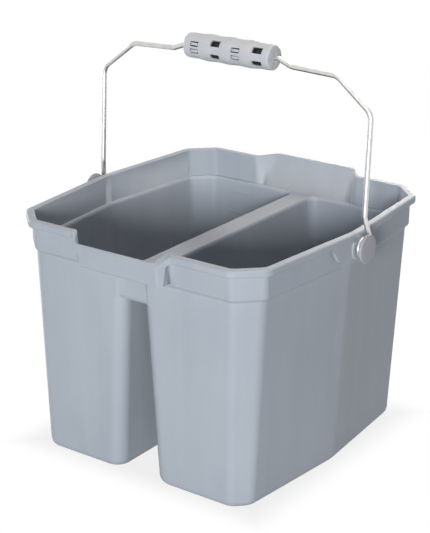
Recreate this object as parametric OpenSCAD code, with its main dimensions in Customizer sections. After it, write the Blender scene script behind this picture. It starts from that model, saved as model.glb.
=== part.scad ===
// Divided utility pail: one moulding with two tubs side by side, carried by a
// wire bail with a turning hand grip. The pail stands on the floor at z = 0,
// x runs across the two tubs, -y is the pouring side.

/* [Rim] */
// Height of the rim above the floor
rim_h = 255; // [249:1:262]
// Width of the rim across the bail pivots
rim_w = 329; // [324:1:336]
// Width of the rim across the ends of its long sides
rim_end_w = 304; // [299:1:308]
// Length of the rim from front to rear, without the lips
rim_len = 322; // [316:1:330]
// Corner cut of the rim, measured across the pail
rim_cut_x = 28; // [24:1:32]
// Corner cut of the rim, measured along the pail
rim_cut_y = 26; // [22:1:30]
// Width of the flat flange on top of the rim
flange_w = 8.5; // [8:0.5:9.5]
// Height of the turned-down edge of the flange
bead_h = 7.5; // [6:0.5:9]

/* [Tubs] */
// Width of the base across its middle
base_w = 286; // [280:1:290]
// Width of the base across the ends of its long sides
base_end_w = 263; // [258:1:268]
// Length of the base
base_len = 291; // [286:1:296]
// Corner cut of the base
base_cut = 16; // [14:1:20]
// Offset of the base towards the front
base_offset = 4.5; // [0:0.5:6]
// Thickness of the moulded wall
wall = 3; // [2.6:0.1:3.2]
// Height of the deck between the tubs, below the rim
deck_drop = 30.5; // [29:0.5:32]
// Rounding of the bottom edges
foot_r = 9; // [6:0.5:10]

/* [Slot between the tubs] */
// Width of the slot at the floor
slot_base_w = 45; // [42:1:50]
// Width of the slot at the lower edge of its curtains
slot_top_w = 22.5; // [20:0.5:26]
// Height of the curtains' lower edges above the floor
curtain_z = 193; // [186:1:197]

/* [Pouring lip] */
// Reach of the pouring lip beyond the rim
pour_reach = 11; // [9:0.5:13]
// Drop of the pouring lip below the rim
pour_drop = 8; // [5:0.5:9]
// Width of the apron under the pouring lip
pour_w = 102; // [98:1:104]
// Distance from the middle to the pouring lip's left S-curve
pour_left = 62; // [60:1:64]
// Distance from the middle to the pouring lip's right S-curve
pour_right = 47; // [46:1:49]
// Run of each S-curve of the pouring lip
pour_run = 12; // [10:0.5:13]

/* [Tipping lip] */
// Reach of the tipping lip beyond the rim
tip_reach = 18.5; // [16:0.5:20]
// Rise of the tipping lip above the rim
tip_rise = 1; // [0:0.5:2]
// Width of the straight part of the tipping lip
tip_w = 96; // [90:1:100]
// Run of each S-curve beside the tipping lip
tip_run = 21; // [18:1:24]

/* [Bail] */
// Diameter of the wire
wire_d = 5.4; // [5:0.1:5.6]
// Height of the bail pivots above the floor
pivot_h = 240; // [238:0.5:241]
// Height of the hand grip's axis above the pivots
bail_rise = 171.5; // [168:0.5:180]
// Lean of the bail towards the rear, as it stands
bail_lean = 3.8; // [0:0.1:6]

/* [Hand grip] */
// Length of the hand grip
grip_len = 106; // [100:1:108]
// Diameter of the hand grip at its ridges
grip_d = 28; // [27:0.5:29]

/* [Pivot studs] */
// Diameter of a stud's head
head_d = 29; // [26:0.5:30]
// Thickness of a stud's head
head_t = 4.2; // [3.6:0.1:4.8]
// Diameter of the shank that a wire eye turns on
shank_d = 12; // [11:0.5:13]

/* [Hidden] */
$fn = 64;

pail_grey = [0.62, 0.65, 0.68];
grip_grey = [0.7, 0.71, 0.73];
wire_silver = [0.8, 0.81, 0.82];

// Insets from the outer edge of the rim
collar_inset = 5.5;
collar_foot_inset = 6;
tub_inset = 9.3;
lining_inset = flange_w + 0.4;
bead_t = 2.6;

// Heights
deck_z = rim_h - deck_drop;
deck_t = wall;
step_z = rim_h - 36;
step_rise = 5;
flange_t = 2.8;
apron_z = rim_h - 29.5;
pad_z = rim_h - 25;
mouth_h = 4.5;
mouth_round = 2.6;
mouth_step = 30;

// Roundings in plan
rim_r = 15;
tub_r = 14;
waist_r = 60;
corner_steps = 5;
foot_step = 22.5;

// How far cuts run past the faces that they open
cut_over = 2;

// Aprons under the lips, closed by a wall at each end
apron_top = 2.6;
apron_wall = 3;
pour_apron = pour_w / 2;
tip_apron_margin = 6;
tip_apron = tip_w / 2 + tip_apron_margin;

// The right S-curves of the pouring lip's two edges lie this far to either side of their middle
edge_gap = 4;

// The part stands centred over its own length, lips included
frame_shift = (tip_reach - pour_reach) / 2;
pad_outer = 44;
pad_inner = 28;
pad_steps = 3;
slack = 0.1;

// Share of a lip's drop that the lower edge of the bead follows
bead_follow = 0.75;

// General helpers

function unit(v) = v / norm(v);
function mix(a, b, t) = a + (b - a) * t;
function ease(t) = let (c = max(0, min(1, t))) c * c * (3 - 2 * c);
function turned(p, a) = [p.x * cos(a) - p.y * sin(a), p.x * sin(a) + p.y * cos(a)];
function flipped(points) = [for (i = [len(points) - 1:-1:0]) [-points[i].x, points[i].y]];
function raised(points, z) = [for (p = points) [p.x, p.y, z]];
function shifted(points, y) = [for (p = points) [p.x, p.y + y]];
function left_normal(a, b) = let (d = unit(b - a)) [-d.y, d.x];

// Corner b between a and c, moved inwards by t from both of its edges
function moved_corner(a, b, c, t) =
    let (
        m = left_normal(a, b),
        n = left_normal(b, c)
    )
    b + (m + n) * t / (1 + m * n);

function inset(plan, t) =
    let (n = len(plan))
    [for (i = [0:n - 1]) moved_corner(plan[(i + n - 1) % n], plan[i], plan[(i + 1) % n], t)];

// Arc that rounds corner b between a and c, on a plan that runs anticlockwise
function rounded(a, b, c, r, steps = corner_steps) =
    let (
        u = unit(a - b),
        v = unit(c - b),
        half = acos(u * v) / 2,
        centre = b + unit(u + v) * r / sin(half),
        first = b + u * r / tan(half) - centre
    )
    [for (i = [0:steps]) centre + turned(first, (180 - 2 * half) * i / steps)];

// Closed skin through a stack of rings that all have the same number of points
module skin(rings) {
    n = len(rings[0]);
    last = len(rings) - 1;
    sides = [
        for (k = [0:last - 1], i = [0:n - 1])
            let (
                j = (i + 1) % n,
                a = k * n + i,
                b = k * n + j
            )
            each [[a, a + n, b], [b, a + n, b + n]]
    ];
    bottom = [for (i = [0:n - 1]) i];
    top = [for (i = [n - 1:-1:0]) last * n + i];
    polyhedron([for (ring = rings) each ring], concat([bottom, top], sides), convexity = 10);
}

// Plan of the pail at several heights

// Right half of a plan, from the front to the rear
function half_plan(w, end_w, length, cut_x, cut_y) =
    let (
        x = end_w / 2,
        y = length / 2
    )
    [[x - cut_x, -y], [x, cut_y - y], [w / 2, 0], [x, y - cut_y], [x - cut_x, y]];

function whole_plan(half) = concat(half, flipped(half));

rim_plan = whole_plan(half_plan(rim_w, rim_end_w, rim_len, rim_cut_x, rim_cut_y));
base_plan = shifted(whole_plan(half_plan(base_w, base_end_w, base_len, base_cut, base_cut)), -base_offset);
tub_top_plan = inset(rim_plan, tub_inset);

function tub_plan(z) =
    let (t = z / step_z)
    [for (i = [0:len(rim_plan) - 1]) mix(base_plan[i], tub_top_plan[i], t)];

function slot_half(z) = mix(slot_base_w, slot_top_w, z / curtain_z) / 2;

// One tub, seen from above: the right half of the plan, closed along the slot
function tub_half_plan(z) =
    let (
        p = tub_plan(z),
        x = slot_half(z)
    )
    [p[0], p[1], p[2], p[3], p[4], [x, p[4].y], [x, p[0].y]];

// Point on the edge from a to b at the given y
function edge_at(a, b, y) = mix(a, b, (y - a.y) / (b.y - a.y));

// Places of the ring's points at one end of a lip: in even steps within and beyond the apron's end
function lip_places(apron, pace, within, beyond) = [for (i = [-within:beyond]) apron + pace * i];
function reversed(list) = [for (i = [len(list) - 1:-1:0]) list[i]];

pour_places = concat(
    -reversed(lip_places(pour_apron, apron_wall / 2, 5, 12)),
    lip_places(pour_apron, apron_wall / 2, 9, 4)
);
tip_end = lip_places(tip_apron, apron_wall, 2, 5);
tip_places = concat(-reversed(tip_end), tip_end);

// The whole outline as a ring, with points for the lips and for the pivot pads
function ring(plan, r) =
    let (
        pads = [for (i = [0:pad_steps]) mix(pad_outer, pad_inner, i / pad_steps)],
        right = concat(
            rounded(plan[9], plan[0], plan[1], r),
            rounded(plan[0], plan[1], plan[2], r),
            [for (y = pads) edge_at(plan[1], plan[2], -y)],
            rounded(plan[1], plan[2], plan[3], waist_r),
            [for (i = [pad_steps:-1:0]) edge_at(plan[2], plan[3], pads[i])],
            rounded(plan[2], plan[3], plan[4], r),
            rounded(plan[3], plan[4], plan[5], r)
        )
    )
    concat(
        [for (x = pour_places) [x, plan[0].y]],
        right,
        [for (x = tip_places) [-x, plan[4].y]],
        flipped(right)
    );

// Rim, lips and collar

// How far into a lip a point lies: 0 on the plain rim, 1 on the straight part of the lip
function share_in(p, middle, run) = ease(0.5 + (middle - abs(p.x)) / run);

function lip_share(p, inner) =
    p.y > 0
        ? share_in(p, (tip_w + tip_run) / 2, tip_run)
        : p.x < 0
            ? share_in(p, pour_left, pour_run)
            : share_in(p, pour_right + (inner ? -edge_gap : edge_gap), pour_run);

// Distance from the middle to an apron's end, which is a little less at the pouring lip's left
function apron_half(p) = p.y > 0 ? tip_apron : p.x < 0 ? pour_apron - apron_wall : pour_apron;
function on_apron(p) = abs(p.x) < apron_half(p) + slack;
function in_apron_wall(p) = on_apron(p) && abs(p.x) > apron_half(p) - apron_wall - slack;

// A point of the rim, pushed outwards and lowered on the lips
function lip_point(p, drop, pour_push, pour_dip, tip_push, inner = false) =
    let (
        s = lip_share(p, inner),
        push = p.y < 0 ? -pour_push : tip_push,
        dip = p.y < 0 ? pour_dip : -tip_rise
    )
    [p.x, p.y + push * s, rim_h - drop - dip * s];

// A ring of the rim at an inset and a drop below the rim
function rim_level(t, drop, pour_push, pour_dip, tip_push, inner = false) =
    [
        for (p = ring(inset(rim_plan, t), rim_r - t))
            lip_point(p, drop, pour_push, pour_dip, tip_push, inner)
    ];

// Underside of the flange, which comes down to the aprons' lower edges at their end walls
function underside_level(t, pour_push, tip_push, wall_share) =
    [
        for (p = ring(inset(rim_plan, t), rim_r - t))
            let (
                high = lip_point(p, flange_t, pour_push, pour_drop + apron_top, tip_push),
                low = lip_point(p, 0, pour_push * wall_share, 0, tip_push * wall_share)
            )
            in_apron_wall(p) ? [low.x, low.y, apron_z] : high
    ];

// Lower edge of the flange's turned-down rim: deep on the aprons and on the pads beside the pivots
function edge_z(p) =
    let (
        on_side = abs(p.x) > rim_end_w / 2 - rim_cut_x ? 1 : 0,
        on_pad = on_side * ease((pad_outer - abs(p.y)) / (pad_outer - pad_inner)),
        dip = p.y < 0 ? pour_drop + apron_top : -tip_rise,
        bead_z = rim_h - bead_h - dip * lip_share(p, false) * bead_follow
    )
    on_apron(p) ? apron_z : mix(bead_z, pad_z, on_pad);

function skirt_level(t) =
    [
        for (p = rim_level(t, 0, pour_reach, 0, tip_reach))
            [p.x, p.y, edge_z(p)]
    ];

// Roundings of the flange's outer edge and of its inner one
edge_drop = 1.8;
edge_chamfer = 0.6;
edge_round = 2;
inner_round = 1;

// How much further than its outer edge the flange's other edges are pushed out on the lips
pour_edge_pull = 1.4;
pour_inner_push = 2.5;
pour_lining_push = 3;
tip_inner_push = 2;
tip_under_push = 1;
wall_push = 0.2;
tip_inner = tip_reach + tip_inner_push;

rim_levels = [
    underside_level(collar_inset, pour_reach, tip_reach + tip_under_push, wall_push),
    underside_level(bead_t, pour_reach, tip_reach, 1),
    skirt_level(bead_t),
    skirt_level(0),
    rim_level(0, edge_drop, pour_reach, pour_drop + apron_top, tip_reach),
    rim_level(edge_chamfer, edge_chamfer, pour_reach, pour_drop + apron_top, tip_reach),
    rim_level(edge_round, 0, pour_reach - pour_edge_pull, pour_drop, tip_reach),
    rim_level(flange_w - inner_round, 0, pour_reach + pour_inner_push, pour_drop, tip_inner, true),
    rim_level(flange_w, inner_round, pour_reach + pour_lining_push, pour_drop, tip_inner, true),
    raised(ring(inset(rim_plan, lining_inset), rim_r - lining_inset), deck_z)
];

// Bottom edge rounded by foot_r: pairs of inset and height
foot_round = [for (a = [0:foot_step:90]) [foot_r * (1 - sin(a)), foot_r * (1 - cos(a))]];

foot_levels = [
    for (f = foot_round)
        raised(ring(inset(tub_plan(f[1]), f[0]), tub_r), f[1])
];

// Curved step from the tubs out to the collar
step_count = 3;
step_levels = [
    for (i = [0:step_count])
        let (
            share = i / step_count,
            t = mix(tub_inset, collar_foot_inset, ease(share))
        )
        raised(ring(inset(rim_plan, t), mix(tub_r, rim_r - t, share)), step_z + step_rise * share)
];

// Inside of one tub
tub_levels = concat(
    [
        for (f = foot_round)
            let (z = wall + f[1])
            raised(tub_ring(inset(tub_half_plan(z), wall + f[0])), z)
    ],
    [
        for (a = [0:mouth_step:90])
            let (z = deck_z - mouth_h * (1 - sin(a)))
            raised(tub_ring(inset(tub_half_plan(deck_z - mouth_h), wall - mouth_flare(a))), z)
    ],
    [raised(tub_ring(inset(tub_half_plan(deck_z - mouth_h), wall - mouth_flare(90))), deck_z + cut_over)]
);

function mouth_flare(a) = mouth_round * (1 - cos(a));

function tub_ring(plan) =
    let (n = len(plan))
    [
        for (i = [0:n - 1])
            each rounded(plan[(i + n - 1) % n], plan[i], plan[(i + 1) % n], i == 2 ? waist_r : tub_r - wall)
    ];

// Slot between the tubs

outside = 40;

// Right edge of the slot from front to rear, with the tubs' rounded corners at both ends
function slot_edge(x, y, r) =
    concat(
        [[x + r, -y - outside]],
        [for (a = [270:-foot_step:180]) [x + r + r * cos(a), r - y + r * sin(a)]],
        [for (a = [180:-foot_step:90]) [x + r + r * cos(a), y - r + r * sin(a)]],
        [[x + r, y + outside]]
    );

function slot_ring(x, y, r) =
    let (right = slot_edge(x, y, r))
    concat(right, flipped(right));

// Half the tubs' length, and the middle of it, at a height
function tub_y(z) = (tub_plan(z)[4].y - tub_plan(z)[0].y) / 2;
function tub_mid(z) = (tub_plan(z)[4].y + tub_plan(z)[0].y) / 2;

function slot_level(z, spread) =
    raised(shifted(slot_ring(slot_half(z) + spread, tub_y(z) - spread, tub_r), tub_mid(z)), z);

slot_levels = concat(
    [raised(slot_level(0, foot_r), -cut_over)],
    [for (f = foot_round) slot_level(f[1], f[0])],
    [slot_level(curtain_z, 0)]
);

// The recesses and the pocket keep this far inside the slot that they open into
slot_ease = 0.5;
curtain_inset = 2;
curtain_round = 2.2;
curtain_round_h = 4;
curtain_step = 30;
curtain_arc_steps = 3;
pocket_overlap = 5;
recess_overlap = 1;

// Hollow under the deck, between the two curtains
module slot_pocket() {
    low = curtain_z - pocket_overlap;
    high = deck_z - deck_t;
    skin([
        for (z = [low, high])
            let (
                x = slot_half(z) - slot_ease,
                y = tub_y(z) - curtain_inset - wall,
                plan = [[x, -y], [x, y], [-x, y], [-x, -y]]
            )
            raised(shifted(plan, tub_mid(z)), z)
    ]);
}

// Shallow recess before a curtain, deeper where the curtain's lower edge is rounded
module curtain_recess(turn) {
    high = step_z - recess_overlap;
    levels = concat(
        [[curtain_z - recess_overlap, curtain_inset + curtain_round]],
        [
            for (a = [0:curtain_step:90])
                [curtain_z + curtain_round_h * sin(a), curtain_inset + curtain_round * (1 - sin(a))]
        ],
        [[high, curtain_inset]]
    );
    rotate(turn)
        skin([
            for (level = levels)
                let (
                    z = level[0],
                    reach = acos((tub_r - level[1] - slot_ease) / tub_r),
                    front = (turn == 0 ? tub_mid(z) : -tub_mid(z)) - tub_y(z) - slot_ease,
                    c = [slot_half(z) + tub_r - slot_ease, front + tub_r],
                    arc = [
                        for (i = [0:curtain_arc_steps])
                            let (a = 270 - reach * i / curtain_arc_steps)
                            c + tub_r * [cos(a), sin(a)]
                    ],
                    right = concat([[c.x, front - outside]], arc)
                )
                raised(concat(right, flipped(right)), z)
        ]);
}

// Measuring marks

mark_pitch = 24.7;
mark_count = 8;
mark_top_z = deck_z - 14;
mark_x = -82.5;
long_mark = 31;
short_mark = 23;
mark_r = 1;

// Raised bars down the rear wall of the left tub, short and long by turns
module measuring_marks() {
    for (i = [0:mark_count - 1]) {
        z = mark_top_z - mark_pitch * i;
        y = tub_plan(z)[4].y - wall;
        length = i % 2 == 0 ? short_mark : long_mark;
        hull() {
            for (x = [-length, length] / 2)
                translate([mark_x + x, y, z])
                    sphere(r = mark_r, $fn = 10);
        }
    }
}

// Pivots

boss_margin = 1.5;
boss_d = head_d - 2 * boss_margin;
boss_len = 8;
boss_stand = 1.7;
boss_face_x = rim_w / 2 + boss_stand;
side_gap = 0.3;
eye_x = boss_face_x + side_gap + wire_d / 2;
head_x = eye_x + wire_d / 2 + side_gap;
pin_d = 8;
pin_len = 8.5;
pin_room = 0.1;
turning_room = 0.07;
// The wire is a touch thicker where it is bent
bend_swell = 0.1;
bend_d = wire_d + bend_swell;
eye_r = shank_d / 2 + turning_room + bend_d / 2;

module in_frame() {
    translate([0, -frame_shift, 0])
        children();
}

// Stands children on the right-hand pivot axis, with their z along +x
module on_pivot(x) {
    translate([x, 0, pivot_h])
        rotate([0, 90, 0])
            children();
}

module both_sides() {
    children();
    mirror([1, 0, 0])
        children();
}

module pail() {
    color(pail_grey)
    in_frame()
    union() {
        difference() {
            union() {
                skin(concat(foot_levels, step_levels, rim_levels));
                both_sides()
                    on_pivot(boss_face_x - boss_len)
                        cylinder(d = boss_d, h = boss_len);
            }
            both_sides()
                skin(tub_levels);
            skin(slot_levels);
            slot_pocket();
            curtain_recess(0);
            curtain_recess(180);
            both_sides()
                on_pivot(boss_face_x - pin_len - pin_room)
                    cylinder(d = pin_d + pin_room, h = pin_len + cut_over);
        }
        measuring_marks();
    }
}

// Stud with a round head: its pin sits in the boss, its shank carries the wire eye
module pivot_stud() {
    edge_r = 1.4;
    dome = 0.6;
    dome_middle = 0.3;
    pin_chamfer = 0.8;
    head_chamfer = 0.6;
    head_r = head_d / 2;
    shank_len = head_x - boss_face_x;
    rim_arc = [
        for (a = [0:15:90])
            [head_r - edge_r * (1 - cos(a)), shank_len + head_t - dome - edge_r * (1 - sin(a))]
    ];
    on_pivot(boss_face_x)
        rotate_extrude()
            polygon(concat(
                [
                    [0, -pin_len],
                    [pin_d / 2 - pin_chamfer, -pin_len],
                    [pin_d / 2, pin_chamfer - pin_len],
                    [pin_d / 2, 0],
                    [shank_d / 2, 0],
                    [shank_d / 2, shank_len],
                    [head_r - head_chamfer, shank_len],
                    [head_r, shank_len + head_chamfer]
                ],
                rim_arc,
                [[head_r / 2, shank_len + head_t - dome * dome_middle], [0, shank_len + head_t]]
            ));
}

module right_pivot_stud() {
    color(pail_grey)
    in_frame()
        pivot_stud();
}

module left_pivot_stud() {
    color(pail_grey)
    in_frame()
        mirror([1, 0, 0])
            pivot_stud();
}

// Bail

// Right half of the wire, from the grip to the eye, about the pivot axis: [x, y, height]
leg_x = rim_w / 2 + 1.8;
leg_y = 4.2;
grip_clear = 4;
kink_run = 20;
kink_drop = 6;
shoulder_x = 126;
shoulder_drop = 8;
leg_drop = 39;
leg_foot = 30;
eye_neck = 13;
bail_course = [
    [grip_len / 2 + grip_clear, leg_y, bail_rise],
    [grip_len / 2 + kink_run, leg_y, bail_rise - kink_drop],
    [shoulder_x, leg_y, bail_rise - shoulder_drop],
    [leg_x, leg_y, bail_rise - leg_drop],
    [leg_x, leg_y, leg_foot],
    [eye_x, eye_r, eye_neck],
    [eye_x, eye_r, 0]
];
bend_r = [9, 9, 14, 14, 9, 9, 0];
eye_sweep = 285;
wire_sides = 32;
wire_overlap = 0.4;

// Half of the turn between the two stretches that meet at point i
function half_turn(course, i) =
    let (
        a = unit(course[i - 1] - course[i]),
        b = unit(course[i + 1] - course[i])
    )
    90 - acos(a * b) / 2;

function bend_length(course, bends, i) =
    i == 0 || i == len(course) - 1 ? 0 : bends[i] * tan(half_turn(course, i));

// Turns children so that their x and z axes lie along the given directions
module turned_to(x_axis, z_axis) {
    y_axis = cross(z_axis, x_axis);
    multmatrix([
        [x_axis.x, y_axis.x, z_axis.x, 0],
        [x_axis.y, y_axis.y, z_axis.y, 0],
        [x_axis.z, y_axis.z, z_axis.z, 0],
        [0, 0, 0, 1]
    ])
        children();
}

// Round wire along a course, bent to a radius at each point between its ends
module bent_wire(course, bends) {
    for (i = [0:len(course) - 2]) {
        run = course[i + 1] - course[i];
        along = unit(run);
        start = bend_length(course, bends, i) - wire_overlap;
        finish = norm(run) - bend_length(course, bends, i + 1) + wire_overlap;
        translate(course[i] + along * start)
            turned_to(unit(cross(along, [0.1, 1, 0])), along)
                cylinder(d = wire_d, h = finish - start, $fn = wire_sides);
    }
    for (i = [1:len(course) - 2]) {
        a = unit(course[i - 1] - course[i]);
        b = unit(course[i + 1] - course[i]);
        half = half_turn(course, i);
        inwards = unit(a + b);
        translate(course[i] + inwards * bends[i] / cos(half))
            turned_to(-inwards, unit(cross(a, b)))
                rotate(-half)
                    rotate_extrude(angle = 2 * half)
                        translate([bends[i], 0])
                            circle(d = bend_d, $fn = wire_sides);
    }
}

// Puts children drawn about the pivot axis where the bail stands
module as_bail_stands() {
    translate([0, -frame_shift, pivot_h])
        rotate([-bail_lean, 0, 0])
            children();
}

module bail_wire() {
    n = len(bail_course);
    left = [for (i = [n - 1:-1:0]) let (p = bail_course[i]) [-p.x, p.y, p.z]];
    left_bends = [for (i = [n - 1:-1:0]) bend_r[i]];
    color(wire_silver)
    as_bail_stands() {
        bent_wire(concat(left, bail_course), concat(left_bends, bend_r));
        both_sides()
            translate([eye_x, 0, 0])
                rotate([90, 0, 90])
                    rotate([0, 0, -eye_sweep])
                        rotate_extrude(angle = eye_sweep)
                            translate([eye_r, 0])
                                circle(d = bend_d, $fn = wire_sides);
    }
}

// Hand grip

grip_end_d = 25;
grip_bore_room = 0.1;
valley_count = 4;
valley_depth = 0.7;
valley_run = grip_len - 4;
grip_edge = 2.5;
grip_steps = 40;
grip_edge_steps = 4;

// Open windows, and windows that a block nearly fills: length and height
open_window = [12, 7];
open_floor = wire_d / 2 + 2;
open_spread = 33;
filled_window = [10.5, 5.2];
filled_floor = grip_d / 2 - 4.4;
filled_spread = 17;
block = [7.9, 2.6];
block_r = grip_d / 2 - 1.4;

// Radius of the grip along its length: drawn in at the windows and towards both ends
function grip_r(x) =
    mix(grip_d, grip_end_d, pow(2 * x / grip_len, 4)) / 2
    - valley_depth * (1 - cos(360 * valley_count * x / valley_run)) / 2;

module grip_body() {
    half = grip_len / 2;
    last = half - grip_edge;
    end_r = grip_r(last);
    arc = [
        for (i = [1:grip_edge_steps])
            let (a = 90 * i / grip_edge_steps)
            [end_r - grip_edge * (1 - cos(a)), last + grip_edge * sin(a)]
    ];
    bore_r = wire_d / 2 + grip_bore_room;
    rotate([0, 90, 0])
        rotate_extrude()
            polygon(concat(
                [[bore_r, -half]],
                [for (p = reversed(arc)) [p.x, -p.y]],
                [for (i = [0:grip_steps]) let (x = mix(-last, last, i / grip_steps)) [grip_r(x), x]],
                arc,
                [[bore_r, half]]
            ));
}

// Block that faces the front, between two distances from the grip's axis
module front_block(size, floor_r, top_r) {
    translate([-size[0] / 2, -top_r, -size[1] / 2])
        cube([size[0], top_r - floor_r, size[1]]);
}

// Children once above and once below the direction that they face
module pair(spread) {
    for (side = [-1, 1])
        rotate([side * spread, 0, 0])
            children();
}

module grip_windows() {
    pitch = valley_run / valley_count;
    for (i = [0:valley_count - 1])
        translate([pitch * (i + 0.5 - valley_count / 2), 0, 0])
            for (back = [0, 180])
                rotate([back, 0, 0])
                    if ((i % 2 == 0) == (back == 0))
                        pair(filled_spread)
                            difference() {
                                front_block(filled_window, filled_floor, grip_d);
                                front_block(block, filled_floor - cut_over, block_r);
                            }
                    else
                        pair(open_spread)
                            front_block(open_window, open_floor, grip_d);
}

module hand_grip() {
    color(grip_grey)
    as_bail_stands()
        translate([0, leg_y, bail_rise])
            difference() {
                grip_body();
                grip_windows();
            }
}

pail();
bail_wire();
hand_grip();
left_pivot_stud();
right_pivot_stud();
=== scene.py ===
"""Looks of a divided utility pail: satin grey mouldings, a plated wire bail and a soft studio."""

import logging
import math
from collections.abc import Callable, Mapping
from dataclasses import dataclass, field
from enum import Enum
from typing import Any, Union

import bmesh
import bpy
from mathutils import Matrix, Vector

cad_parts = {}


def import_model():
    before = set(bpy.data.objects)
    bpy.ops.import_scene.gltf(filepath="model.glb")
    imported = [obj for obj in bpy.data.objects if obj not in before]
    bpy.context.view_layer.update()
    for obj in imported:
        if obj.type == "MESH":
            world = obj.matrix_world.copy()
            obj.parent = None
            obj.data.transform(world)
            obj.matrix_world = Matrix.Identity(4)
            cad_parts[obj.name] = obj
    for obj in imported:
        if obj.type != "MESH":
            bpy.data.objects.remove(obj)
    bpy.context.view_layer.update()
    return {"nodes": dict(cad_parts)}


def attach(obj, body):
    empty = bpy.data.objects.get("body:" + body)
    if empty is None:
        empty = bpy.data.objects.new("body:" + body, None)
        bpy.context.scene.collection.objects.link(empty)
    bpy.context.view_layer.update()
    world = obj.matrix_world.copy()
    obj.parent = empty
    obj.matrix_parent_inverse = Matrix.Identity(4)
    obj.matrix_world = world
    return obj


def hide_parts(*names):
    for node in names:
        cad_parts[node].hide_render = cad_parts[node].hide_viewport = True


log = logging.getLogger("divided_pail")

MM = 0.001

# Gap under which a solid's loose corners are merged, and the angle up to which faces count as one flat area
MERGE_GAP = 0.01 * MM
FLAT_ANGLE = 0.2

# The grip's axis at rest, as Y and Z
GRIP_AXIS = (0.011806, 0.410845)

# Places of a Mix node's colour sockets
MIX_SHARE, MIX_FIRST, MIX_SECOND, MIX_RESULT = 0, 6, 7, 2

Colour = tuple[float, float, float]
Point = tuple[float, float, float]
Span = tuple[float, float]
Value = Union[float, Colour, "Sock"]

WHITE: Colour = (1.0, 1.0, 1.0)


class Body(Enum):
    """Bodies of the part that pieces ride on."""

    PAIL = "pail_body"
    BAIL = "bail_body"
    GRIP = "grip_body"


class Slot(Enum):
    """Material slots of the part's record."""

    PAIL = "pail_plastic"
    STUD = "stud_plastic"
    GRIP = "grip_plastic"
    WIRE = "bail_steel"


# Shader maths


class Sock:
    """A shader value that can be added, multiplied and blended like a number."""

    def __init__(self, graph: "Graph", socket: bpy.types.NodeSocket) -> None:
        """Wraps a node's output.

        Args:
            graph: The graph that the node belongs to.
            socket: The output socket.
        """
        self.graph = graph
        self.socket = socket

    def _maths(self, operation: str, other: Value, swap: bool = False) -> "Sock":
        """Joins this value with another through a maths node.

        Args:
            operation: Blender's name for the operation.
            other: The other value.
            swap: Whether the other value comes first.

        Returns:
            The result.
        """
        pair = (other, self) if swap else (self, other)
        return self.graph.add("ShaderNodeMath", {0: pair[0], 1: pair[1]}, operation=operation)

    def __add__(self, other: Value) -> "Sock":
        """Sum of two values."""
        return self._maths("ADD", other)

    def __radd__(self, other: Value) -> "Sock":
        """Sum of a number and this value."""
        return self._maths("ADD", other)

    def __sub__(self, other: Value) -> "Sock":
        """Difference of two values."""
        return self._maths("SUBTRACT", other)

    def __rsub__(self, other: Value) -> "Sock":
        """Difference of a number and this value."""
        return self._maths("SUBTRACT", other, swap=True)

    def __mul__(self, other: Value) -> "Sock":
        """Product of two values."""
        return self._maths("MULTIPLY", other)

    def __rmul__(self, other: Value) -> "Sock":
        """Product of a number and this value."""
        return self._maths("MULTIPLY", other)

    def __pow__(self, other: Value) -> "Sock":
        """Power of this value."""
        return self._maths("POWER", other)

    def ramp(self, low: float, high: float, start: float = 0.0, end: float = 1.0) -> "Sock":
        """Smooth step of this value.

        Args:
            low: Where the step starts.
            high: Where the step ends.
            start: The result at the start.
            end: The result at the end.

        Returns:
            The stepped value.
        """
        inputs = {"Value": self, "From Min": low, "From Max": high, "To Min": start, "To Max": end}
        return self.graph.add("ShaderNodeMapRange", inputs, interpolation_type="SMOOTHSTEP")


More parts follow.
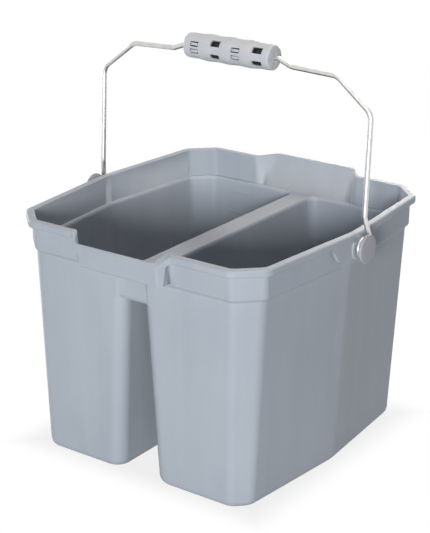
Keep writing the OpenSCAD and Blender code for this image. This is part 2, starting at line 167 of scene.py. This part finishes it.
class Graph:
    """Node graph of one material or world."""

    def __init__(self, owner: bpy.types.Material | bpy.types.World) -> None:
        """Clears the owner's nodes.

        Args:
            owner: The material or world that gets the nodes.
        """
        owner.use_nodes = True
        self.tree = owner.node_tree
        self.tree.nodes.clear()

    def add(
        self, kind: str, inputs: Mapping[str | int, Value], output: str | int = 0, **settings: Any
    ) -> Sock:
        """Adds a node, sets its properties and fills its inputs.

        Args:
            kind: Blender's type name of the node.
            inputs: Numbers, colours or sockets by input name or index.
            output: The output to return.
            **settings: Properties of the node.

        Returns:
            The chosen output, or the first input of a node that has none.
        """
        node = self.tree.nodes.new(kind)
        for name, value in settings.items():
            setattr(node, name, value)
        for key, value in inputs.items():
            target = node.inputs[key]
            if isinstance(value, Sock):
                self.tree.links.new(value.socket, target)
            elif isinstance(value, tuple) and len(target.default_value) == 4:
                target.default_value = (*value, 1.0)
            else:
                target.default_value = value
        return Sock(self, node.outputs[output]) if node.outputs else Sock(self, node.inputs[0])

    def place(self) -> Sock:
        """Object coordinates, in metres."""
        return self.add("ShaderNodeTexCoord", {}, "Object")

    def axis(self, name: str) -> Sock:
        """One of the object coordinates.

        Args:
            name: "X", "Y" or "Z".

        Returns:
            That coordinate.
        """
        return self.add("ShaderNodeSeparateXYZ", {0: self.place()}, name)

    def stretched(self, scale: Point) -> Sock:
        """Object coordinates stretched along the axes.

        Args:
            scale: Factor for each axis.

        Returns:
            The stretched coordinates.
        """
        return self.add("ShaderNodeMapping", {"Vector": self.place(), "Scale": scale})

    def noise(self, scale: float, detail: float = 2.0, vector: Sock | None = None) -> Sock:
        """Soft noise between 0 and 1.

        Args:
            scale: Features per metre.
            detail: Number of finer layers.
            vector: Coordinates, the object's own if left out.

        Returns:
            The noise value.
        """
        inputs = {"Vector": vector or self.place(), "Scale": scale, "Detail": detail}
        return self.add("ShaderNodeTexNoise", inputs, "Fac")

    def blend(self, share: Value, first: Value, second: Value) -> Sock:
        """Blend of two colours.

        Args:
            share: 0 for the first colour, 1 for the second.
            first: The first colour.
            second: The second colour.

        Returns:
            The blended colour.
        """
        inputs = {MIX_SHARE: share, MIX_FIRST: first, MIX_SECOND: second}
        return self.add("ShaderNodeMix", inputs, MIX_RESULT, data_type="RGBA")

    def bump(self, height: Sock, strength: float, distance: float, base: Sock | None = None) -> Sock:
        """Bumped normal.

        Args:
            height: Height of the relief, from 0 to 1.
            strength: Share of the effect.
            distance: Depth of the relief in metres.
            base: An earlier bumped normal to build on.

        Returns:
            The normal.
        """
        inputs: dict[str | int, Value] = {"Height": height, "Strength": strength, "Distance": distance}
        if base is not None:
            inputs["Normal"] = base
        return self.add("ShaderNodeBump", inputs)

    def surface(self, inputs: Mapping[str | int, Value]) -> None:
        """Ends the graph with a principled surface.

        Args:
            inputs: Inputs of the principled shader.
        """
        self.end(self.add("ShaderNodeBsdfPrincipled", inputs))

    def end(self, shader: Sock, kind: str = "ShaderNodeOutputMaterial") -> None:
        """Connects a shader to the output.

        Args:
            shader: The finished shader.
            kind: Blender's type name of the output node.
        """
        self.add(kind, {"Surface": shader})


# Finishes


@dataclass(frozen=True)
class MouldedPlastic:
    """Satin moulded plastic with a fine spark-eroded grain and faint flow marks."""

    name: str
    colour: Colour
    shade: Colour
    roughness: float = 0.42
    roughness_spread: Span = (-0.05, 0.06)
    streak_roughness: float = 0.06
    gloss: float = 0.3
    cloud: float = 9.0
    cloud_detail: float = 3.0
    cloud_share: float = 0.55
    streak: float = 3.0
    streak_detail: float = 4.0
    streak_share: float = 0.45
    flow: Point = (18.0, 18.0, 2.0)
    tone_span: Span = (0.34, 0.66)
    grain: float = 2600.0
    grain_span: Span = (0.3, 0.7)
    grain_strength: float = 0.5
    grain_depth: float = 0.06 * MM
    ripple: float = 55.0
    ripple_strength: float = 0.25
    ripple_depth: float = 0.2 * MM
    # The hollow fields paint shade deep in a hollow piece's windows: darker towards the axis, standing in
    # for the shade inside the moulding.
    hollow_axis: Span | None = None
    hollow: Span = (10.0 * MM, 12.4 * MM)
    hollow_end: Span = (50.0 * MM, 51.0 * MM)
    painted_window_shade: Colour = (0.03, 0.028, 0.027)

    def material(self) -> bpy.types.Material:
        """Builds the material.

        Returns:
            The new material.
        """
        made = bpy.data.materials.new(self.name)
        graph = Graph(made)
        cloud = graph.noise(self.cloud, self.cloud_detail)
        streak = graph.noise(self.streak, self.streak_detail, graph.stretched(self.flow))
        tone = (cloud * self.cloud_share + streak * self.streak_share).ramp(*self.tone_span)
        grain = graph.noise(self.grain)
        ripple = graph.noise(self.ripple)
        smooth, coarse = (self.roughness + step for step in self.roughness_spread)
        rough = grain.ramp(*self.grain_span, smooth, coarse) + streak * self.streak_roughness
        normal = graph.bump(ripple, self.ripple_strength, self.ripple_depth)
        normal = graph.bump(grain, self.grain_strength, self.grain_depth, normal)
        colour = graph.blend(tone, self.shade, self.colour)
        # Painted shade: deep in the windows round the hollow's axis, the colour turns near black.
        if self.hollow_axis is not None:
            colour = graph.blend(self.outside(graph, self.hollow_axis), self.painted_window_shade, colour)
        graph.surface(
            {
                "Base Color": colour,
                "Roughness": rough,
                "Specular IOR Level": self.gloss,
                "Normal": normal,
            }
        )
        return made

    def outside(self, graph: Graph, axis: Span) -> Sock:
        """Tells the outside of a hollow piece from the depths of its windows, where shade is painted.

        Args:
            graph: The graph that needs the share.
            axis: The hollow's axis along X, as Y and Z.

        Returns:
            0 deep in the windows, 1 or more on the outside and on the end faces.
        """
        across = graph.axis("Y") - axis[0]
        above = graph.axis("Z") - axis[1]
        along = graph.axis("X")
        reach = (across * across + above * above) ** 0.5
        beyond = ((along * along) ** 0.5).ramp(*self.hollow_end)
        return reach.ramp(*self.hollow) + beyond


@dataclass(frozen=True)
class PlatedWire:
    """Bright plated steel wire with fine drawing lines."""

    name: str
    colour: Colour = (0.62, 0.625, 0.61)
    dull: Colour = (0.54, 0.545, 0.53)
    patch: float = 120.0
    patch_detail: float = 4.0
    patch_span: Span = (0.4, 0.7)
    lines: float = 900.0
    lines_stretch: Point = (1.0, 1.0, 0.08)
    lines_span: Span = (0.3, 0.7)
    roughness: Span = (0.36, 0.46)

    def material(self) -> bpy.types.Material:
        """Builds the material.

        Returns:
            The new material.
        """
        made = bpy.data.materials.new(self.name)
        graph = Graph(made)
        patch = graph.noise(self.patch, self.patch_detail).ramp(*self.patch_span)
        lines = graph.noise(self.lines, vector=graph.stretched(self.lines_stretch))
        graph.surface(
            {
                "Base Color": graph.blend(patch, self.colour, self.dull),
                "Metallic": 1.0,
                "Roughness": lines.ramp(*self.lines_span, *self.roughness),
            }
        )
        return made


# Mesh helpers


def only(piece: bpy.types.Object) -> None:
    """Makes one object the only selected and active one."""
    bpy.ops.object.select_all(action="DESELECT")
    piece.select_set(True)
    bpy.context.view_layer.objects.active = piece


def edited(piece: bpy.types.Object, work: Callable[[], None]) -> None:
    """Runs edit-mode work on a piece with all of its mesh selected.

    Args:
        piece: The object to edit.
        work: What to do in edit mode.
    """
    only(piece)
    bpy.ops.object.mode_set(mode="EDIT")
    bpy.ops.mesh.select_all(action="SELECT")
    work()
    bpy.ops.object.mode_set(mode="OBJECT")


def applied(piece: bpy.types.Object, kind: str, **settings: Any) -> None:
    """Adds a modifier, sets it and applies it.

    Args:
        piece: The object that gets the modifier.
        kind: Blender's type name of the modifier.
        **settings: Properties of the modifier.
    """
    only(piece)
    modifier = piece.modifiers.new(kind.lower(), kind)
    for name, value in settings.items():
        setattr(modifier, name, value)
    bpy.ops.object.modifier_apply(modifier=modifier.name)


def smoothed(piece: bpy.types.Object, degrees: float) -> None:
    """Shades a piece smooth, apart from edges sharper than the angle.

    Args:
        piece: The object to shade.
        degrees: The angle.
    """
    only(piece)
    bpy.ops.object.shade_smooth_by_angle(angle=math.radians(degrees))


def drawn_from(node: bpy.types.Object, name: str) -> bpy.types.Object:
    """Copies a solid's mesh into a new piece, merged and with its flat areas joined.

    Args:
        node: The solid.
        name: Name of the new piece.

    Returns:
        The new piece.
    """
    piece = bpy.data.objects.new(name, node.data.copy())
    piece.data.materials.clear()
    bpy.context.scene.collection.objects.link(piece)

    def joined() -> None:
        """Merges the loose triangles and dissolves the edges inside flat areas."""
        bpy.ops.mesh.remove_doubles(threshold=MERGE_GAP)
        bpy.ops.mesh.dissolve_limited(angle_limit=math.radians(FLAT_ANGLE))

    edited(piece, joined)
    return piece


def dressed(piece: bpy.types.Object, finish: bpy.types.Material, body: Body) -> None:
    """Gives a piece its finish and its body.

    Args:
        piece: The finished piece.
        finish: Its material.
        body: The body that it rides on.
    """
    piece.data.materials.clear()
    piece.data.materials.append(finish)
    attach(piece, body.value)
    log.info("%s: %d faces", piece.name, len(piece.data.polygons))


# Sub-assemblies


@dataclass
class PailMoulding:
    """The twin-tub moulding, with its rim's lower edges rounded.

    The lips' ends are left as they are: each is a box in plan, from X to X and from Y to Y.
    """

    node: bpy.types.Object
    edge: float = 1.25 * MM
    edge_steps: int = 3
    edge_profile: float = 0.5
    smooth: float = 42.0
    square: float = 60.0
    facing: float = 0.5
    edge_heights: Span = (225.0 * MM, 248.0 * MM)
    lip_ends: tuple[tuple[float, float, float, float], ...] = (
        (-0.072, -0.042, -0.2, -0.12),
        (0.036, 0.064, -0.2, -0.12),
        (-0.085, -0.045, 0.12, 0.2),
        (0.045, 0.085, 0.12, 0.2),
    )
    finish: MouldedPlastic = field(
        default_factory=lambda: MouldedPlastic("pail_satin", (0.41, 0.445, 0.485), (0.375, 0.41, 0.45))
    )

    def is_lower_edge(self, edge: bmesh.types.BMEdge) -> bool:
        """Tells a square lower edge on the outside of the rim, clear of the lips' ends, from any other.

        Args:
            edge: The edge.

        Returns:
            Whether it is one.
        """
        if len(edge.link_faces) != 2 or edge.calc_face_angle_signed() < math.radians(self.square):
            return False
        low, high = self.edge_heights
        if not all(low < corner.co.z < high for corner in edge.verts):
            return False
        middle = (edge.verts[0].co + edge.verts[1].co) / 2
        if any(x0 < middle.x < x1 and y0 < middle.y < y1 for x0, x1, y0, y1 in self.lip_ends):
            return False
        down, side = sorted((face.normal for face in edge.link_faces), key=lambda normal: normal.z)
        outward = side.x * middle.x + side.y * middle.y > 0.0
        return outward and down.z < -self.facing < side.z < self.facing

    def round_edges(self, piece: bpy.types.Object) -> None:
        """Rounds the lower edges on the outside of the rim.

        Args:
            piece: The moulding.
        """
        mesh = bmesh.new()
        mesh.from_mesh(piece.data)
        chosen = [edge for edge in mesh.edges if self.is_lower_edge(edge)]
        log.info("%s: %d edges rounded", piece.name, len(chosen))
        bmesh.ops.bevel(
            mesh,
            geom=chosen,
            offset=self.edge,
            segments=self.edge_steps,
            profile=self.edge_profile,
            affect="EDGES",
            clamp_overlap=False,
        )
        mesh.to_mesh(piece.data)
        mesh.free()

    def build(self) -> None:
        """Builds and dresses the moulding."""
        piece = drawn_from(self.node, "pail_moulding")
        self.round_edges(piece)
        smoothed(piece, self.smooth)
        applied(piece, "WEIGHTED_NORMAL", keep_sharp=True)
        dressed(piece, self.finish.material(), Body.PAIL)
        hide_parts("pail")


@dataclass
class PivotStuds:
    """The two studs that hold the wire's eyes."""

    nodes: Mapping[str, bpy.types.Object]
    smooth: float = 35.0
    finish: MouldedPlastic = field(
        default_factory=lambda: MouldedPlastic(
            "stud_satin", (0.41, 0.41, 0.44), (0.375, 0.375, 0.405), roughness=0.36
        )
    )

    def build(self) -> None:
        """Builds and dresses both studs."""
        finish = self.finish.material()
        for side in ("left", "right"):
            node = f"{side}_pivot_stud"
            piece = drawn_from(self.nodes[node], f"{side}_stud")
            smoothed(piece, self.smooth)
            dressed(piece, finish, Body.PAIL)
            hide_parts(node)


@dataclass
class Bail:
    """The bent wire and the grip that turns on it.

    The wire's sizes are in millimetres. Its course gives the corners of the right half and their
    bending radii, about the pivot axis and before the bail leans.
    """

    nodes: Mapping[str, bpy.types.Object]
    pivot: Point = (0.0, -3.75, 240.0)
    lean: float = 3.8
    wire_d: float = 5.4
    course: tuple[tuple[Point, float], ...] = (
        ((57.0, 4.2, 171.5), 9.0),
        ((73.0, 4.2, 165.5), 9.0),
        ((126.0, 4.2, 163.5), 14.0),
        ((166.3, 4.2, 132.5), 14.0),
        ((166.3, 4.2, 30.0), 9.0),
        ((169.2, 8.82, 13.0), 9.0),
        ((169.2, 8.82, 0.0), 0.0),
    )
    eye_r: float = 8.82
    eye_sweep: float = 284.0
    eye_steps: int = 40
    bend_steps: int = 8
    section_steps: int = 4
    wire_smooth: float = 50.0
    wire_finish: PlatedWire = field(default_factory=lambda: PlatedWire("plated_wire"))
    grip_edge: float = 0.35 * MM
    grip_edge_steps: int = 2
    grip_smooth: float = 40.0
    # The grip's finish paints shade deep in its windows, round its axis.
    grip_finish: MouldedPlastic = field(
        default_factory=lambda: MouldedPlastic(
            "grip_satin", (0.56, 0.565, 0.58), (0.52, 0.525, 0.54), roughness=0.4, hollow_axis=GRIP_AXIS
        )
    )

    def bend(self, before: Vector, corner: Vector, after: Vector, radius: float) -> list[Vector]:
        """Points of the arc that rounds a corner.

        Args:
            before: The point before the corner.
            corner: The corner.
            after: The point after the corner.
            radius: Radius of the bend.

        Returns:
            The points, from the first stretch to the second.
        """
        first, second = (before - corner).normalized(), (after - corner).normalized()
        half = first.angle(second) / 2
        centre = corner + (first + second).normalized() * radius / math.sin(half)
        start = corner + first * radius / math.tan(half) - centre
        turn = math.pi - 2 * half
        axis = second.cross(first).normalized()
        turns = [Matrix.Rotation(turn * i / self.bend_steps, 3, axis) for i in range(self.bend_steps + 1)]
        return [centre + rotation @ start for rotation in turns]

    def half_course(self) -> list[Vector]:
        """Right half of the wire's centre line, from the grip to the end of the eye.

        Returns:
            Points about the pivot axis, in millimetres.
        """
        places = [Vector(point) for point, _ in self.course]
        places.insert(0, Vector((-places[0].x, places[0].y, places[0].z)))
        line = []
        for i, (_, radius) in enumerate(self.course[:-1], start=1):
            line += self.bend(places[i - 1], places[i], places[i + 1], radius)
        last = places[-1]
        for i in range(self.eye_steps + 1):
            angle = math.radians(self.eye_sweep) * i / self.eye_steps
            line.append(Vector((last.x, self.eye_r * math.cos(angle), -self.eye_r * math.sin(angle))))
        return line

    def build_wire(self) -> None:
        """Sweeps the wire along its course and dresses it."""
        right = self.half_course()
        line = [Vector((-p.x, p.y, p.z)) for p in reversed(right)] + right
        stand = Matrix.Translation(self.pivot) @ Matrix.Rotation(math.radians(-self.lean), 4, "X")
        data = bpy.data.curves.new("wire", "CURVE")
        data.dimensions = "3D"
        data.bevel_depth = self.wire_d / 2 * MM
        data.bevel_resolution = self.section_steps
        data.use_fill_caps = True
        spline = data.splines.new("POLY")
        spline.points.add(len(line) - 1)
        for point, place in zip(spline.points, line):
            point.co = (*(stand @ place * MM), 1.0)
        piece = bpy.data.objects.new("wire", data)
        bpy.context.scene.collection.objects.link(piece)
        only(piece)
        bpy.ops.object.convert(target="MESH")
        smoothed(piece, self.wire_smooth)
        dressed(piece, self.wire_finish.material(), Body.BAIL)
        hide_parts("bail_wire")

    def build_grip(self) -> None:
        """Builds and dresses the grip."""
        piece = drawn_from(self.nodes["hand_grip"], "grip")
        applied(
            piece,
            "BEVEL",
            width=self.grip_edge,
            segments=self.grip_edge_steps,
            limit_method="ANGLE",
            angle_limit=math.radians(self.grip_smooth),
            use_clamp_overlap=True,
        )
        smoothed(piece, self.grip_smooth)
        dressed(piece, self.grip_finish.material(), Body.GRIP)
        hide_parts("hand_grip")

    def build(self) -> None:
        """Builds both pieces."""
        self.build_wire()
        self.build_grip()


# Studio


@dataclass(frozen=True)
class Lamp:
    """A soft square lamp aimed at a point."""

    name: str
    place: Point
    target: Point
    size: float
    power: float
    colour: Colour = WHITE

    def build(self) -> None:
        """Adds the lamp."""
        data = bpy.data.lights.new(self.name, "AREA")
        data.size = self.size
        data.energy = self.power
        data.color = self.colour
        lamp = bpy.data.objects.new(self.name, data)
        lamp.location = self.place
        lamp.rotation_euler = (Vector(self.target) - Vector(self.place)).to_track_quat("-Z", "Y").to_euler()
        bpy.context.scene.collection.objects.link(lamp)


@dataclass(frozen=True)
class Viewpoint:
    """Camera placed by a fit to the rim and the base in the photograph."""

    place: Point = (0.9134, -1.25425, 0.7674)
    azimuth: float = 36.47
    elevation: float = 20.65
    roll: float = -0.34
    lens: float = 131.89
    sensor: float = 36.0

    def build(self) -> None:
        """Adds the camera and makes it the scene's own."""
        turn, lift, tilt = (math.radians(v) for v in (self.azimuth, self.elevation, self.roll))
        back = Vector((math.sin(turn) * math.cos(lift), -math.cos(turn) * math.cos(lift), math.sin(lift)))
        right = Vector((math.cos(turn), math.sin(turn), 0.0))
        up = back.cross(right)
        right, up = (
            right * math.cos(tilt) + up * math.sin(tilt),
            up * math.cos(tilt) - right * math.sin(tilt),
        )
        data = bpy.data.cameras.new("photo_view")
        data.sensor_fit = "HORIZONTAL"
        data.sensor_width = self.sensor
        data.lens = self.lens
        camera = bpy.data.objects.new("photo_view", data)
        basis = Matrix((right, up, back)).transposed().to_4x4()
        camera.matrix_world = Matrix.Translation(self.place) @ basis
        bpy.context.scene.collection.objects.link(camera)
        bpy.context.scene.camera = camera


@dataclass
class Studio:
    """Pale floor, soft lamps, plain surroundings and the camera.

    Beside the pail the floor keeps its real shade and is lifted only part of the way to white, which paints
    a grey shade round the base. It clears to plain white over the given distances from the middle of the
    pail's base.
    """

    floor_size: float = 12.0
    floor_cloud: float = 2.0
    floor_colour: Colour = (0.36, 0.36, 0.365)
    floor_shade: Colour = (0.34, 0.34, 0.34)
    # lift and clear paint a grey shade round the base: the share of white beside the pail, and the
    # distances over which it clears.
    lift: float = 0.83
    clear: Span = (0.13, 0.175)
    base_offset: float = 0.008
    surroundings: Colour = (0.012, 0.03, 0.075)
    lamps: tuple[Lamp, ...] = (
        Lamp("key", (1.6, -3.6, 0.95), (0.0, 0.0, 0.2), 0.8, 145.0, (0.97, 0.985, 1.0)),
        Lamp("fill", (1.85, -1.65, 0.42), (0.0, 0.0, 0.13), 0.6, 4.0, (0.97, 0.985, 1.0)),
        Lamp("top", (0.2, 0.44, 2.1), (0.0, 0.0, 0.2), 0.6, 18.5, (1.0, 0.9, 0.8)),
        Lamp("rear", (-0.56, 1.54, 1.37), (0.0, 0.0, 0.22), 0.5, 6.5, (1.0, 0.87, 0.75)),
        Lamp("back", (-0.95, 2.67, 0.3), (0.0, 0.0, 0.1), 1.0, 52.0, (0.97, 0.985, 1.0)),
        Lamp("left", (-2.7, 0.3, 0.3), (0.0, 0.0, 0.1), 1.0, 45.0, (0.97, 0.985, 1.0)),
    )
    viewpoint: Viewpoint = field(default_factory=Viewpoint)

    def background_rays(self, graph: Graph) -> Sock:
        """Share of rays that see the plain background: 1 for camera, glossy and clear rays.

        Args:
            graph: The graph that needs the share.

        Returns:
            The share.
        """
        kinds = ("Camera", "Glossy", "Transmission")
        seen, *others = (graph.add("ShaderNodeLightPath", {}, f"Is {kind} Ray") for kind in kinds)
        for ray in others:
            seen = graph.add("ShaderNodeMath", {0: seen, 1: ray}, operation="MAXIMUM")
        return seen

    def build_floor(self) -> None:
        """Adds the floor, lifted to white away from the pail and only partway beside it, a painted grey
        shade over its real shadow.
        """
        bpy.ops.object.select_all(action="DESELECT")
        bpy.ops.mesh.primitive_plane_add(size=self.floor_size, location=(0.0, 0.0, 0.0))
        floor = bpy.context.object
        floor.name = "floor"
        made = bpy.data.materials.new("pale_floor")
        graph = Graph(made)
        tone = graph.blend(graph.noise(self.floor_cloud), self.floor_colour, self.floor_shade)
        ground = graph.add("ShaderNodeBsdfDiffuse", {"Color": tone}, "BSDF")
        light = graph.add("ShaderNodeEmission", {"Color": WHITE, "Strength": 1.0}, "Emission")
        across = graph.add("ShaderNodeMath", {0: graph.axis("X")}, operation="ABSOLUTE")
        along = graph.add("ShaderNodeMath", {0: graph.axis("Y") + self.base_offset}, operation="ABSOLUTE")
        reach = graph.add("ShaderNodeMath", {0: across, 1: along}, operation="MAXIMUM")
        # Painted shade: beside the base the floor is lifted only partway to white, over its real shadow.
        share = self.background_rays(graph) * reach.ramp(*self.clear, self.lift, 1.0)
        graph.end(graph.add("ShaderNodeMixShader", {0: share, 1: ground, 2: light}))
        floor.data.materials.append(made)

    def build_surroundings(self) -> None:
        """Sets the plain surroundings: white to the camera, a faint cool light elsewhere."""
        world = bpy.data.worlds.new("plain_room")
        graph = Graph(world)
        colour = graph.blend(self.background_rays(graph), self.surroundings, WHITE)
        room = graph.add("ShaderNodeBackground", {"Color": colour, "Strength": 1.0})
        graph.end(room, "ShaderNodeOutputWorld")
        bpy.context.scene.world = world

    def build(self) -> None:
        """Builds the studio."""
        bpy.context.scene.view_settings.view_transform = "Standard"
        self.build_floor()
        self.build_surroundings()
        for lamp in self.lamps:
            lamp.build()
        self.viewpoint.build()


def main() -> None:
    """Builds every sub-assembly and the studio."""
    logging.basicConfig(level=logging.INFO, format="%(name)s: %(message)s")
    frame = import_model()
    nodes = frame["nodes"]
    PailMoulding(nodes["pail"]).build()
    PivotStuds(nodes).build()
    Bail(nodes).build()
    Studio().build()


if __name__ == "__main__":
    main()
